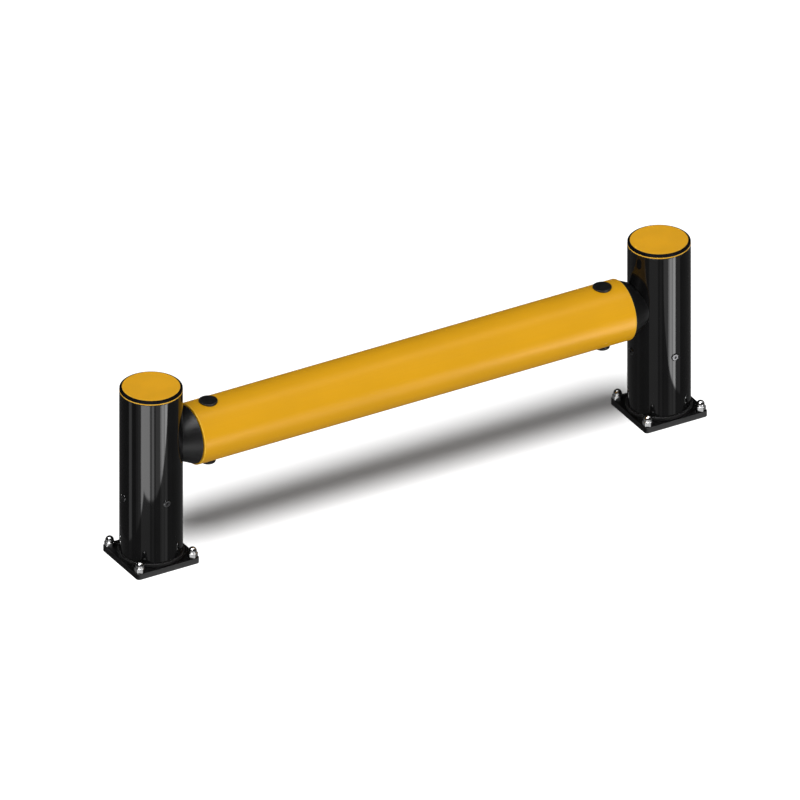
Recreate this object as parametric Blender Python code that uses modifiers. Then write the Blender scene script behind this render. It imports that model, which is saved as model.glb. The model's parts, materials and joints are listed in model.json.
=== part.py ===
"""Flexible single-rail traffic barrier: two bolted-down tube posts and one pinned tube rail.

Metres, +Z up. The origin is on the floor, midway between the posts, and +X runs along the rail.
Each post is built round its own vertical axis, with local +X pointing at the rail, so the right
post is the left one turned half a turn. The barrier leans about the X axis at its tubes' feet.
"""
import math

import bmesh
import bpy
from mathutils import Matrix

# ---- driving dimensions, in metres ----
GAP = 0.0003                    # clearance between pieces that rest on each other

POST_SPACING = 1.836            # between the two posts' axes
TUBE_RADIUS = 0.100             # the posts and the rail are the same extruded tube
TUBE_WALL = 0.010
TUBE_CHAMFER = 0.0015           # broken outer edge at each cut tube end

PLATE_SIDE = 0.226
PLATE_THICKNESS = 0.020
PLATE_CORNER = 0.012            # radius of the plate's vertical corners
PLATE_EDGE = 0.0012             # broken edge round the plate's faces
PLATE_CORNER_STEPS = 4
ANCHOR_PITCH = 0.190            # square pattern of anchor holes
ANCHOR_HOLE_RADIUS = 0.011

STUD_RADIUS = 0.010             # M20
STUD_TOP = 0.045
NUT_ACROSS_FLATS = 0.030        # domed cap nut, sitting straight on the plate
NUT_HEX_HEIGHT = 0.016
NUT_HEIGHT = 0.034
NUT_DOME_RADIUS = 0.014
NUT_BORE_RADIUS = 0.0103
NUT_BORE_DEPTH = 0.026
NUT_DOME_FOOT = 0.002           # the dome's body reaches down inside the hexagon

FOOT_RING_RADIUS = 0.1060       # rubber ring between the plate and the tube
FOOT_RING_INNER_RADIUS = 0.0855
FOOT_RING_TOP = 0.031           # also the height of the lean axis
FOOT_RING_CHAMFER = 0.0015

TUBE_TOP = 0.602                # top of the post tube, under the cap's lip
CAP_LIP_TOP = 0.6055
CAP_TOP = 0.615
CAP_DISC_RADIUS = 0.0915        # raised disc in the middle of the cap
CAP_DISC_ROUND = 0.0006
CAP_CEILING = 0.603             # underside of the cap, inside its skirt
CAP_SKIRT_BOTTOM = 0.560
CAP_SKIRT_INNER_RADIUS = 0.082
TRIM_RADIUS = 0.0996            # ring round the raised disc, on the lip
TRIM_SHOULDER = 0.6112
TRIM_TOP = 0.6148

SOCKET_PIPE_RADIUS = 0.051      # steel pipe welded to the plate, holding the flexible core
SOCKET_PIPE_WALL = 0.008
SOCKET_PIPE_TOP = 0.110
SOCKET_WELD_LEG = 0.006
CORE_RADIUS = 0.0427            # solid elastomer column
COLLAR_BOTTOM = 0.205           # polymer collar between the core and the tube
COLLAR_TOP = 0.275

SCREW_HEIGHT = 0.240            # four screws round the tube, into the collar
SCREW_HEAD_RADIUS = 0.0128
SCREW_HEAD_PROUD = 0.003
SCREW_HEAD_ROUND = 0.0024
SCREW_SHANK_RADIUS = 0.006
SCREW_TIP = 0.069               # from the post's axis
SCREW_TIP_CLEARANCE = 0.002
SCREW_SOCKET_FLATS = 0.008
SCREW_SOCKET_DEPTH = 0.005

RAIL_HEIGHT = 0.402             # the rail's axis above the floor
RAIL_END = 0.1375               # from the post's axis to the rail's end
CONE_MOUTH_RADIUS = 0.097       # connector cone where it meets the rail
CONE_SLOPE = 0.472              # radius lost for each unit of length towards the post
CONE_TIP = 0.060                # where the cone would end, were the post not there
SPIGOT_END = 0.250
SPIGOT_BORE_RADIUS = 0.072
SPIGOT_BORE_FLOOR = 0.165
NECK_RADIUS = 0.055             # enters the post through a hole in its wall
NECK_END = 0.045
NECK_ROOT = 0.120               # where the neck's body ends inside the cone

LOCK_PIN_OFFSET = 0.068         # vertical pin through the neck, inside the post
LOCK_PIN_RADIUS = 0.010
LOCK_PIN_HEAD_RADIUS = 0.015
LOCK_PIN_HEAD_THICKNESS = 0.006
LOCK_PIN_TAIL = 0.070           # below the rail's axis

RAIL_PIN_OFFSET = 0.206         # from the post's axis
RAIL_PIN_RADIUS = 0.012
PIN_HOLE_RADIUS = 0.0123
PIN_TOP = 0.090                 # above the rail's axis
PIN_BOTTOM = 0.1105             # below the rail's axis
PIN_CAP_RADIUS = 0.030
PIN_CAP_PROUD = 0.004
PIN_CAP_CHAMFER = 0.001
PIN_NUT_RADIUS = 0.0245
PIN_NUT_PROUD = 0.0175
PIN_NUT_CHAMFER = 0.004

CUT_MARGIN = 0.010              # how far a cutter runs past what it cuts
CUT_ACROSS = 0.150              # half the length of a cutter that runs right across a tube
BLANK_DEPTH = 0.009             # how far a saddled piece reaches past the tube's crest, uncut
JOIN_OVERLAP = 0.001            # how far below a face the body that is joined to it ends

TUBE_STEPS = 40                 # facets round the tubes
PLAIN_STEPS = 24                # facets round hidden and middle-sized pieces
SMALL_STEPS = 12                # facets round fasteners

# ---- sizes that follow from those ----
TUBE_BORE = TUBE_RADIUS - TUBE_WALL
SADDLE_RADIUS = TUBE_RADIUS + GAP
PLATE_TOP = PLATE_THICKNESS + GAP


# ---- the collections, and the two frames that the pieces are parented to ----
def clear_scene():
    for obj in list(bpy.data.objects):
        bpy.data.objects.remove(obj, do_unlink=True)


def new_collection(name):
    collection = bpy.data.collections.new(name)
    bpy.context.scene.collection.children.link(collection)
    return collection


clear_scene()
PARTS = new_collection("flexible_barrier")
TOOLS = new_collection("cutters")


def new_frame(name, height):
    frame = bpy.data.objects.new(name, None)
    frame.location = (0.0, 0.0, height)
    PARTS.objects.link(frame)
    return frame


BASE = new_frame("base_frame", 0.0)
BARRIER = new_frame("barrier_lean_axis", FOOT_RING_TOP)


# ---- materials ----
def srgb(red, green, blue):
    """Linear colour of an sRGB one given as 0 to 255."""
    channels = []
    for value in (red, green, blue):
        value /= 255.0
        linear = value / 12.92 if value <= 0.04045 else ((value + 0.055) / 1.055) ** 2.4
        channels.append(linear)
    return (*channels, 1.0)


def new_material(name, colour, roughness, metallic=0.0):
    material = bpy.data.materials.new(name)
    material.use_nodes = True
    shader = material.node_tree.nodes["Principled BSDF"]
    shader.inputs["Base Color"].default_value = colour
    shader.inputs["Roughness"].default_value = roughness
    shader.inputs["Metallic"].default_value = metallic
    material.diffuse_color = colour
    return material


YELLOW_PLASTIC = new_material("yellow_plastic", srgb(238, 174, 32), 0.35)
BLACK_TUBE = new_material("black_gloss_plastic", srgb(24, 24, 25), 0.12)
BLACK_MOULDED = new_material("black_moulded_plastic", srgb(30, 30, 31), 0.45)
BLACK_POWDER = new_material("black_powder_coat", srgb(22, 22, 23), 0.40)
RUBBER = new_material("black_rubber", srgb(38, 38, 38), 0.75)
STAINLESS = new_material("stainless_steel", srgb(205, 205, 205), 0.22, 1.0)
ZINC_STEEL = new_material("zinc_plated_steel", srgb(175, 178, 182), 0.35, 1.0)
DARK_SCREW = new_material("dark_screw_steel", srgb(120, 120, 122), 0.35, 1.0)


# ---- building blocks ----
def add_piece(name, mesh, matrix, material, frame):
    """A finished piece at `matrix` in the world, held by one of the two frames."""
    piece = bpy.data.objects.new(name, mesh)
    PARTS.objects.link(piece)
    piece.parent = frame
    piece.matrix_parent_inverse = Matrix.Translation(-frame.location)
    piece.matrix_basis = matrix
    mesh.materials.clear()
    mesh.materials.append(material)
    return piece


def add_tool(name, mesh, matrix):
    """A cutting or joining body, which isn't a piece of the object."""
    tool = bpy.data.objects.new(name, mesh)
    TOOLS.objects.link(tool)
    tool.matrix_basis = matrix
    tool.hide_render = True
    tool.display_type = "WIRE"
    return tool


def boolean(piece, tool, operation="DIFFERENCE"):
    modifier = piece.modifiers.new(f"{operation.lower()}_{tool.name}", "BOOLEAN")
    modifier.operation = operation
    modifier.object = tool
    modifier.solver = "EXACT"


def profile_mesh(name, points, closed):
    """A profile in the XZ plane, as an edge loop for the Screw modifier."""
    mesh = bpy.data.meshes.new(name)
    edges = [(i, i + 1) for i in range(len(points) - 1)]
    if closed:
        edges.append((len(points) - 1, 0))
    mesh.from_pydata([(x, 0.0, z) for x, z in points], edges, [])
    return mesh


def spin(obj, steps):
    """Turn a profile right round its local Z axis."""
    screw = obj.modifiers.new("turn", "SCREW")
    screw.angle = 2.0 * math.pi
    screw.steps = steps
    screw.render_steps = steps
    screw.use_merge_vertices = True
    screw.merge_threshold = 0.00001
    screw.use_smooth_shade = True


def turned(name, points, steps, matrix, material, frame):
    """A turned piece. Its profile runs down the outer side, and closes unless it is on the axis."""
    on_axis = points[0][0] == 0.0 and points[-1][0] == 0.0
    piece = add_piece(name, profile_mesh(name, points, not on_axis), matrix, material, frame)
    spin(piece, steps)
    return piece


def turned_tool(name, points, steps, matrix):
    tool = add_tool(name, profile_mesh(name, points, False), matrix)
    spin(tool, steps)
    return tool


def prism_mesh(name, radius, depth, sides):
    """An upright prism or cylinder, centred on its own middle."""
    mesh = bpy.data.meshes.new(name)
    shape = bmesh.new()
    bmesh.ops.create_cone(
        shape, cap_ends=True, segments=sides, radius1=radius, radius2=radius, depth=depth)
    shape.to_mesh(mesh)
    shape.free()
    return mesh


def rod_tool(name, radius, start, end, sides, matrix):
    """A cylinder along the local Z axis of `matrix`, from start to end."""
    middle = Matrix.Translation((0.0, 0.0, (start + end) / 2.0))
    return add_tool(name, prism_mesh(name, radius, end - start, sides), matrix @ middle)


def hexagon_radius(across_flats):
    return across_flats / math.sqrt(3.0)


def move(x=0.0, y=0.0, z=0.0):
    return Matrix.Translation((x, y, z))


def turn(axis, degrees):
    return Matrix.Rotation(math.radians(degrees), 4, axis)


ALONG_X = turn("Y", 90.0)       # takes a piece's own Z axis to +X


def ring_profile(outer, inner, top, bottom, top_chamfer=0.0, bottom_chamfer=0.0):
    above = [(outer, top)]
    if top_chamfer:
        above = [(outer - top_chamfer, top), (outer, top - top_chamfer)]
    below = [(outer, bottom)]
    if bottom_chamfer:
        below = [(outer, bottom + bottom_chamfer), (outer - bottom_chamfer, bottom)]
    return above + below + [(inner, bottom), (inner, top)]


def rounded_edge(radius, top, rounding, steps=2):
    """The rounded top edge of a disc, from its face to its side."""
    angles = [math.pi / 2.0 * (1.0 - i / steps) for i in range(steps + 1)]
    return [(radius - rounding * (1.0 - math.cos(a)), top - rounding * (1.0 - math.sin(a))) for a in angles]


def rod_profile(radius, top, bottom):
    return [(0.0, top), (radius, top), (radius, bottom), (0.0, bottom)]


# ---- the base: plate, socket pipe, anchors ----
def rounded_plate_mesh(name):
    mesh = bpy.data.meshes.new(name)
    shape = bmesh.new()
    bmesh.ops.create_cube(shape, size=1.0)
    bmesh.ops.scale(shape, vec=(PLATE_SIDE, PLATE_SIDE, PLATE_THICKNESS), verts=shape.verts)
    bmesh.ops.translate(shape, vec=(0.0, 0.0, PLATE_THICKNESS / 2.0), verts=shape.verts)
    uprights = [e for e in shape.edges if abs(e.verts[0].co.z - e.verts[1].co.z) > PLATE_THICKNESS / 2.0]
    bmesh.ops.bevel(
        shape, geom=uprights, offset=PLATE_CORNER, segments=PLATE_CORNER_STEPS, profile=0.5, affect="EDGES")
    shape.to_mesh(mesh)
    shape.free()
    return mesh


def build_base_plate(side, seat):
    name = f"{side}_base_plate"
    plate = add_piece(name, rounded_plate_mesh(name), seat, BLACK_POWDER, BASE)
    edge = plate.modifiers.new("broken_edge", "BEVEL")
    edge.width = PLATE_EDGE
    edge.segments = 1
    edge.limit_method = "ANGLE"
    edge.angle_limit = math.radians(40.0)
    for index, (x, y) in enumerate(anchor_places()):
        hole = rod_tool(
            f"{name}_hole_{index + 1}", ANCHOR_HOLE_RADIUS, -CUT_MARGIN, PLATE_THICKNESS + CUT_MARGIN,
            SMALL_STEPS, seat @ move(x, y))
        boolean(plate, hole)


def build_socket_pipe(side, seat):
    bore = SOCKET_PIPE_RADIUS - SOCKET_PIPE_WALL
    profile = [
        (SOCKET_PIPE_RADIUS, SOCKET_PIPE_TOP),
        (SOCKET_PIPE_RADIUS, PLATE_TOP + SOCKET_WELD_LEG),
        (SOCKET_PIPE_RADIUS + SOCKET_WELD_LEG, PLATE_TOP),
        (bore, PLATE_TOP), (bore, SOCKET_PIPE_TOP),
    ]
    turned(f"{side}_socket_pipe", profile, PLAIN_STEPS, seat, ZINC_STEEL, BASE)


def anchor_places():
    half = ANCHOR_PITCH / 2.0
    return [(-half, -half), (half, -half), (half, half), (-half, half)]


def dome_profile(arcs=4):
    """The cap nut's domed crown, down to just above its foot."""
    centre = PLATE_TOP + NUT_HEIGHT - NUT_DOME_RADIUS
    points = []
    for i in range(arcs + 1):
        angle = math.pi / 2.0 * (1.0 - i / arcs)
        radius = NUT_DOME_RADIUS * math.cos(angle) if i else 0.0
        points.append((radius, centre + NUT_DOME_RADIUS * math.sin(angle)))
    foot = PLATE_TOP + NUT_DOME_FOOT
    return points + [(NUT_DOME_RADIUS, foot), (0.0, foot)]


def build_anchor(side, index, seat):
    stud = f"{side}_anchor_stud_{index}"
    turned(stud, rod_profile(STUD_RADIUS, STUD_TOP, 0.0), SMALL_STEPS, seat, ZINC_STEEL, BASE)

    name = f"{side}_cap_nut_{index}"
    nut = turned(name, dome_profile(), SMALL_STEPS, seat, STAINLESS, BASE)
    hexagon = rod_tool(
        f"{name}_hexagon", hexagon_radius(NUT_ACROSS_FLATS), PLATE_TOP, PLATE_TOP + NUT_HEX_HEIGHT, 6, seat)
    bore = rod_tool(
        f"{name}_bore", NUT_BORE_RADIUS, PLATE_TOP - CUT_MARGIN, PLATE_TOP + NUT_BORE_DEPTH,
        SMALL_STEPS, seat)
    boolean(nut, hexagon, "UNION")
    boolean(nut, bore)


# ---- between base and barrier: the two elastomer pieces ----
def build_elastomers(side, seat):
    ring = ring_profile(FOOT_RING_RADIUS, FOOT_RING_INNER_RADIUS, FOOT_RING_TOP, PLATE_TOP, FOOT_RING_CHAMFER)
    turned(f"{side}_foot_ring", ring, TUBE_STEPS, seat, RUBBER, BASE)

    core = rod_profile(CORE_RADIUS, COLLAR_TOP, PLATE_TOP)
    turned(f"{side}_flexible_core", core, PLAIN_STEPS, seat, RUBBER, BASE)


# ---- the barrier: post tube, collar, screws, cap ----
def post_tool(name, height, seat):
    """A cylinder just larger than the post tube, which shapes whatever sits on it at that height."""
    return rod_tool(name, SADDLE_RADIUS, height - CUT_ACROSS, height + CUT_ACROSS, TUBE_STEPS, seat)


def screw_seat(seat, index):
    """Local Z points out of the tube along one of its four screws."""
    return seat @ move(z=SCREW_HEIGHT) @ turn("Z", 90.0 * index) @ ALONG_X


def build_post_tube(side, seat):
    profile = ring_profile(TUBE_RADIUS, TUBE_BORE, TUBE_TOP, FOOT_RING_TOP + GAP, bottom_chamfer=TUBE_CHAMFER)
    tube = turned(f"{side}_post_tube", profile, TUBE_STEPS, seat, BLACK_TUBE, BARRIER)
    clearance = SCREW_SHANK_RADIUS + GAP
    for index in range(4):
        hole = rod_tool(
            f"{side}_tube_screw_hole_{index + 1}", clearance, TUBE_BORE - TUBE_WALL, TUBE_RADIUS + TUBE_WALL,
            SMALL_STEPS, screw_seat(seat, index))
        boolean(tube, hole)
    hole = rod_tool(
        f"{side}_tube_neck_hole", NECK_RADIUS + GAP, CONE_TIP, TUBE_RADIUS + TUBE_WALL, PLAIN_STEPS,
        seat @ move(z=RAIL_HEIGHT) @ ALONG_X)
    boolean(tube, hole)


def build_collar(side, seat):
    profile = ring_profile(TUBE_BORE - GAP, CORE_RADIUS + GAP, COLLAR_TOP, COLLAR_BOTTOM)
    collar = turned(f"{side}_core_collar", profile, TUBE_STEPS, seat, BLACK_MOULDED, BARRIER)
    clearance = SCREW_SHANK_RADIUS + GAP
    for index in range(4):
        hole = rod_tool(
            f"{side}_collar_screw_hole_{index + 1}", clearance, SCREW_TIP - SCREW_TIP_CLEARANCE, TUBE_RADIUS,
            SMALL_STEPS, screw_seat(seat, index))
        boolean(collar, hole)


def build_post_screw(side, index, seat):
    name = f"{side}_post_screw_{index + 1}"
    place = screw_seat(seat, index)
    top = TUBE_RADIUS + SCREW_HEAD_PROUD
    under = TUBE_RADIUS - BLANK_DEPTH
    head = [
        (0.0, top), *rounded_edge(SCREW_HEAD_RADIUS, top, SCREW_HEAD_ROUND),
        (SCREW_HEAD_RADIUS, under), (0.0, under),
    ]
    screw = turned(name, head, SMALL_STEPS, place, DARK_SCREW, BARRIER)
    saddle = post_tool(f"{name}_saddle", SCREW_HEIGHT, seat)
    shank = rod_tool(f"{name}_shank", SCREW_SHANK_RADIUS, SCREW_TIP, top - JOIN_OVERLAP, SMALL_STEPS, place)
    socket = rod_tool(
        f"{name}_socket", hexagon_radius(SCREW_SOCKET_FLATS), top - SCREW_SOCKET_DEPTH, top + CUT_MARGIN,
        6, place)
    boolean(screw, saddle)
    boolean(screw, shank, "UNION")
    boolean(screw, socket)


def build_cap(side, seat):
    lip = TUBE_TOP + GAP
    skirt = TUBE_BORE - GAP
    cap = [
        (0.0, CAP_TOP), (CAP_DISC_RADIUS - CAP_DISC_ROUND, CAP_TOP),
        (CAP_DISC_RADIUS, CAP_TOP - CAP_DISC_ROUND), (CAP_DISC_RADIUS, CAP_LIP_TOP),
        (TUBE_RADIUS, CAP_LIP_TOP), (TUBE_RADIUS, lip), (skirt, lip), (skirt, CAP_SKIRT_BOTTOM),
        (CAP_SKIRT_INNER_RADIUS, CAP_SKIRT_BOTTOM), (CAP_SKIRT_INNER_RADIUS, CAP_CEILING), (0.0, CAP_CEILING),
    ]
    turned(f"{side}_post_cap", cap, TUBE_STEPS, seat, YELLOW_PLASTIC, BARRIER)

    inner = CAP_DISC_RADIUS + GAP
    seat_height = CAP_LIP_TOP + GAP
    trim = [(inner, TRIM_TOP), (TRIM_RADIUS, TRIM_SHOULDER), (TRIM_RADIUS, seat_height), (inner, seat_height)]
    turned(f"{side}_cap_trim_ring", trim, TUBE_STEPS, seat, BLACK_MOULDED, BARRIER)


# ---- the joint between post and rail ----
def build_connector(side, seat):
    """One moulding: a spigot in the rail, a cone saddled on the post, and a neck inside the post."""
    name = f"{side}_rail_connector"
    axis = seat @ move(z=RAIL_HEIGHT) @ ALONG_X
    spigot = TUBE_BORE - GAP
    flange = RAIL_END - GAP
    tip_radius = CONE_MOUTH_RADIUS - CONE_SLOPE * (RAIL_END - CONE_TIP)
    profile = [
        (0.0, SPIGOT_BORE_FLOOR), (SPIGOT_BORE_RADIUS, SPIGOT_BORE_FLOOR), (SPIGOT_BORE_RADIUS, SPIGOT_END),
        (spigot, SPIGOT_END), (spigot, flange), (CONE_MOUTH_RADIUS, flange), (tip_radius, CONE_TIP),
        (0.0, CONE_TIP),
    ]
    connector = turned(name, profile, TUBE_STEPS, axis, BLACK_MOULDED, BARRIER)
    boolean(connector, post_tool(f"{name}_saddle", RAIL_HEIGHT, seat))
    boolean(connector, rod_tool(f"{name}_neck", NECK_RADIUS, NECK_END, NECK_ROOT, PLAIN_STEPS, axis), "UNION")
    holes = {"lock": (LOCK_PIN_OFFSET, LOCK_PIN_RADIUS + GAP), "pin": (RAIL_PIN_OFFSET, PIN_HOLE_RADIUS)}
    for kind, (offset, radius) in holes.items():
        place = seat @ move(x=offset, z=RAIL_HEIGHT)
        hole = rod_tool(f"{name}_{kind}_hole", radius, -CUT_ACROSS, CUT_ACROSS, SMALL_STEPS, place)
        boolean(connector, hole)


def build_lock_pin(side, seat):
    place = seat @ move(x=LOCK_PIN_OFFSET, z=RAIL_HEIGHT)
    shoulder = NECK_RADIUS + GAP
    top = shoulder + LOCK_PIN_HEAD_THICKNESS
    profile = [
        (0.0, top), (LOCK_PIN_HEAD_RADIUS, top), (LOCK_PIN_HEAD_RADIUS, shoulder),
        (LOCK_PIN_RADIUS, shoulder), (LOCK_PIN_RADIUS, -LOCK_PIN_TAIL), (0.0, -LOCK_PIN_TAIL),
    ]
    turned(f"{side}_neck_lock_pin", profile, SMALL_STEPS, place, ZINC_STEEL, BARRIER)


def rail_tool(name):
    """A cylinder just larger than the rail, which shapes the pins' caps and nuts."""
    along = move(z=RAIL_HEIGHT) @ ALONG_X
    return rod_tool(name, SADDLE_RADIUS, -POST_SPACING / 2.0, POST_SPACING / 2.0, TUBE_STEPS, along)


def build_rail_pin(side, seat):
    place = seat @ move(x=RAIL_PIN_OFFSET, z=RAIL_HEIGHT)
    pin = rod_profile(RAIL_PIN_RADIUS, PIN_TOP, -PIN_BOTTOM)
    turned(f"{side}_rail_pin", pin, SMALL_STEPS, place, ZINC_STEEL, BARRIER)

    name = f"{side}_rail_pin_cap"
    top = TUBE_RADIUS + PIN_CAP_PROUD
    under = TUBE_RADIUS - BLANK_DEPTH
    cap = [
        (0.0, top), (PIN_CAP_RADIUS - PIN_CAP_CHAMFER, top), (PIN_CAP_RADIUS, top - PIN_CAP_CHAMFER),
        (PIN_CAP_RADIUS, under), (0.0, under),
    ]
    pin_cap = turned(name, cap, PLAIN_STEPS, place, BLACK_MOULDED, BARRIER)
    boolean(pin_cap, rail_tool(f"{name}_saddle"))
    plug = rod_tool(f"{name}_plug", RAIL_PIN_RADIUS, PIN_TOP + GAP, top - JOIN_OVERLAP, SMALL_STEPS, place)
    boolean(pin_cap, plug, "UNION")

    name = f"{side}_rail_pin_nut"
    low = -TUBE_RADIUS - PIN_NUT_PROUD
    high = -TUBE_RADIUS + BLANK_DEPTH
    nut = [
        (0.0, high), (PIN_NUT_RADIUS, high), (PIN_NUT_RADIUS, low + PIN_NUT_CHAMFER),
        (PIN_NUT_RADIUS - PIN_NUT_CHAMFER, low), (0.0, low),
    ]
    pin_nut = turned(name, nut, PLAIN_STEPS, place, BLACK_MOULDED, BARRIER)
    boolean(pin_nut, rail_tool(f"{name}_saddle"))
    bore = rod_tool(f"{name}_bore", PIN_HOLE_RADIUS, -PIN_BOTTOM - GAP, -TUBE_BORE, SMALL_STEPS, place)
    boolean(pin_nut, bore)


def build_rail(seats):
    half = POST_SPACING / 2.0 - RAIL_END
    profile = ring_profile(TUBE_RADIUS, TUBE_BORE, half, -half, TUBE_CHAMFER, TUBE_CHAMFER)
    rail = turned("rail_tube", profile, TUBE_STEPS, move(z=RAIL_HEIGHT) @ ALONG_X, YELLOW_PLASTIC, BARRIER)
    for side, seat in seats.items():
        place = seat @ move(x=RAIL_PIN_OFFSET, z=RAIL_HEIGHT)
        hole = rod_tool(f"{side}_rail_pin_hole", PIN_HOLE_RADIUS, -CUT_ACROSS, CUT_ACROSS, SMALL_STEPS, place)
        boolean(rail, hole)


# ---- assembly ----
def build_post(side, seat):
    build_base_plate(side, seat)
    build_socket_pipe(side, seat)
    for index, (x, y) in enumerate(anchor_places()):
        build_anchor(side, index + 1, seat @ move(x, y))
    build_elastomers(side, seat)
    build_post_tube(side, seat)
    build_collar(side, seat)
    for index in range(4):
        build_post_screw(side, index, seat)
    build_cap(side, seat)
    build_connector(side, seat)
    build_lock_pin(side, seat)
    build_rail_pin(side, seat)


SEATS = {
    "left": move(x=-POST_SPACING / 2.0),
    "right": move(x=POST_SPACING / 2.0) @ turn("Z", 180.0),
}
for post_side, post_seat in SEATS.items():
    build_post(post_side, post_seat)
build_rail(SEATS)
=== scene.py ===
"""Looks of the flexible single-rail traffic barrier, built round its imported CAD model.

Every piece that shows is rebuilt here as a fine mesh, where its CAD node is and as large, with its
rounded edges, fits and procedural material. The pieces that are hidden inside keep their CAD meshes.
Metres, +Z up. Each post has its own frame, whose +X points at the rail.
"""

import json
import math

import bmesh
import bpy
from mathutils import Matrix, Vector

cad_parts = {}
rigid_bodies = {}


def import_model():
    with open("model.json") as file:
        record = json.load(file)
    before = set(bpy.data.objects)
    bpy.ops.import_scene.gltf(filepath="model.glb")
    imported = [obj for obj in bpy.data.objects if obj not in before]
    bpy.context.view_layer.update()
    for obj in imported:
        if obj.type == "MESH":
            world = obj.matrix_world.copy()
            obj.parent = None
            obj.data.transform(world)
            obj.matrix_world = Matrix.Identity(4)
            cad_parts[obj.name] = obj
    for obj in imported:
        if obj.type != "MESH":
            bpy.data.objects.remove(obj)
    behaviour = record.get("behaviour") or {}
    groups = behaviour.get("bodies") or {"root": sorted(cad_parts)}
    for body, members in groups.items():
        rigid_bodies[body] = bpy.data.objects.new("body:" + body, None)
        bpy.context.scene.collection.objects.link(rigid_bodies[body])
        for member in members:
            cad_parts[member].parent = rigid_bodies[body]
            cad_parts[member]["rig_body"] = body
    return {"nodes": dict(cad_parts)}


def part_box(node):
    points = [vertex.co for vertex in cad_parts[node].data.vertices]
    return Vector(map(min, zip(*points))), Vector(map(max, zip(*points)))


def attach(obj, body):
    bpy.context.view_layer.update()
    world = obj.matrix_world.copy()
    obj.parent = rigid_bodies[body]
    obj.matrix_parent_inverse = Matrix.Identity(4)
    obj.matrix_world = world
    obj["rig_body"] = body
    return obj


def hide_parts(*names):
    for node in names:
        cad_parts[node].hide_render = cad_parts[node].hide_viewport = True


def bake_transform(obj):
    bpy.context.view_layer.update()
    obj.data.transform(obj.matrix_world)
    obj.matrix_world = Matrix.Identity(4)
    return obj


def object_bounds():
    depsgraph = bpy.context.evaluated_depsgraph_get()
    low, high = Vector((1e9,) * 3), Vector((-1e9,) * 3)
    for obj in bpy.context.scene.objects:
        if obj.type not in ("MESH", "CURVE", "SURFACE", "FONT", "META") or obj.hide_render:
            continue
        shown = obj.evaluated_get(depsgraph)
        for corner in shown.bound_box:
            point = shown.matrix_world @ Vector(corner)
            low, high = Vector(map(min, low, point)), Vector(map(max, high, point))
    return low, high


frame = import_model()
cad_low, cad_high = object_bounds()

# ---- details that the CAD boxes don't give, in metres ----
GAP = 0.0003                    # between pieces that rest on each other
TUBE_WALL = 0.010
TUBE_EDGE = 0.0018              # rounding of the outer edge of each cut tube end; half of it inside
INNER_EDGE = 0.001              # rounding of edges that are hidden in the assembly
PLATE_CORNER = 0.012
PLATE_EDGE = 0.0012
PLATE_WEAR = (0.9, 0.1)         # the part of that edge that is rubbed, in shares down from the face
ANCHOR_HOLE_RADIUS = 0.011
NUT_HEX_HEIGHT = 0.016
NUT_DOME_RADIUS = 0.014
NUT_BORE_RADIUS = 0.0103
NUT_BORE_EDGE = 0.0005
NUT_BORE_DEPTH = 0.026
NUT_CHAMFER = math.radians(25.0)
NUT_CHAMFER_RADIUS = 0.0143     # where the chamfer starts on each end of the hexagon
NUT_CORNER_RADIUS = 0.0171      # the hexagon's rubbed corners
NUT_DOME_FOOT = 0.0004          # the dome's foot above the hexagon
NUT_FOOT = 0.0003               # the hexagon's lower chamfer starts this far above the plate
FOOT_RING_INNER = 0.0855
FOOT_RING_EDGE = 0.0015         # the outer edge under the tube; the others have the one below
FOOT_RING_SEAT_EDGE = 0.0005
CAP_LIP_TOP = 0.6055
CAP_EDGE = 0.0012
CAP_LIP_EDGE = 0.0006
CAP_DISC_RADIUS = 0.0915
CAP_DISC_EDGE = 0.0006
CAP_CEILING = 0.603
CAP_CEILING_FILLET = 0.002
CAP_SKIRT_INNER = 0.082
TRIM_SHOULDER = 0.6112
TRIM_SHOULDER_EDGE = 0.0012
TRIM_EDGE = 0.0004
TRIM_INNER_EDGE = 0.0003
CONE_MOUTH_RADIUS = 0.097
CONE_SLOPE = 0.472              # radius lost for each unit of length towards the post
CONE_FOOT_EDGE = 0.0008
RIM_GAP = 0.0024                # open groove between the cone and the rail's end
RIM_EDGE = 0.001
SPIGOT_BORE_RADIUS = 0.072
SPIGOT_BORE_FLOOR = 0.165
SPIGOT_BORE_FILLET = 0.003
NECK_RADIUS = 0.055
NECK_EDGE = 0.002
SCREW_SHANK_RADIUS = 0.006
SCREW_HEAD_INSET = 0.003        # from the head's side to the corner of its flat top
SCREW_HEAD_DROP = 0.002         # from the flat top down to the head's side
SCREW_HEAD_EDGES = (0.002, 0.0008)   # roundings of those two corners
SCREW_SOCKET_FLATS = 0.008
SCREW_SOCKET_DEPTH = 0.005
SCREW_SOCKET_POINT = 0.001      # the socket's floor is a shallow cone
SCREW_SOCKET_CHAMFER = 0.0003
PIN_HOLE_RADIUS = 0.0123
PIN_CAP_EDGE = 0.001
PIN_NUT_EDGE = 0.004
PLUG_RADIUS = 0.0120
CORE_LEVELS = 40                # lengths into which the core is cut along its height

TUBE_STEPS = 192                # facets round the tubes, caps and connectors
PLAIN_STEPS = 96                # facets round nuts, pins and screws
ARC_STEPS = 4                   # facets over one rounded edge
DOME_STEPS = 12                 # facets from a nut's crown to its dome's side
HOLE_STEPS = 48                 # facets round an anchor hole
CORNER_STEPS = 12               # facets round a plate's corner
WELD = 0.00001                  # points of a plate that are closer than this are joined
FOOT_ROUNDS = 30                # rounds in which a cone's foot is found
HOLD = 0.8                      # how far beside a rounded edge the flat is held, in roundings
SHARP = math.radians(32.0)      # edges that turn more than this are drawn sharp

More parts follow.
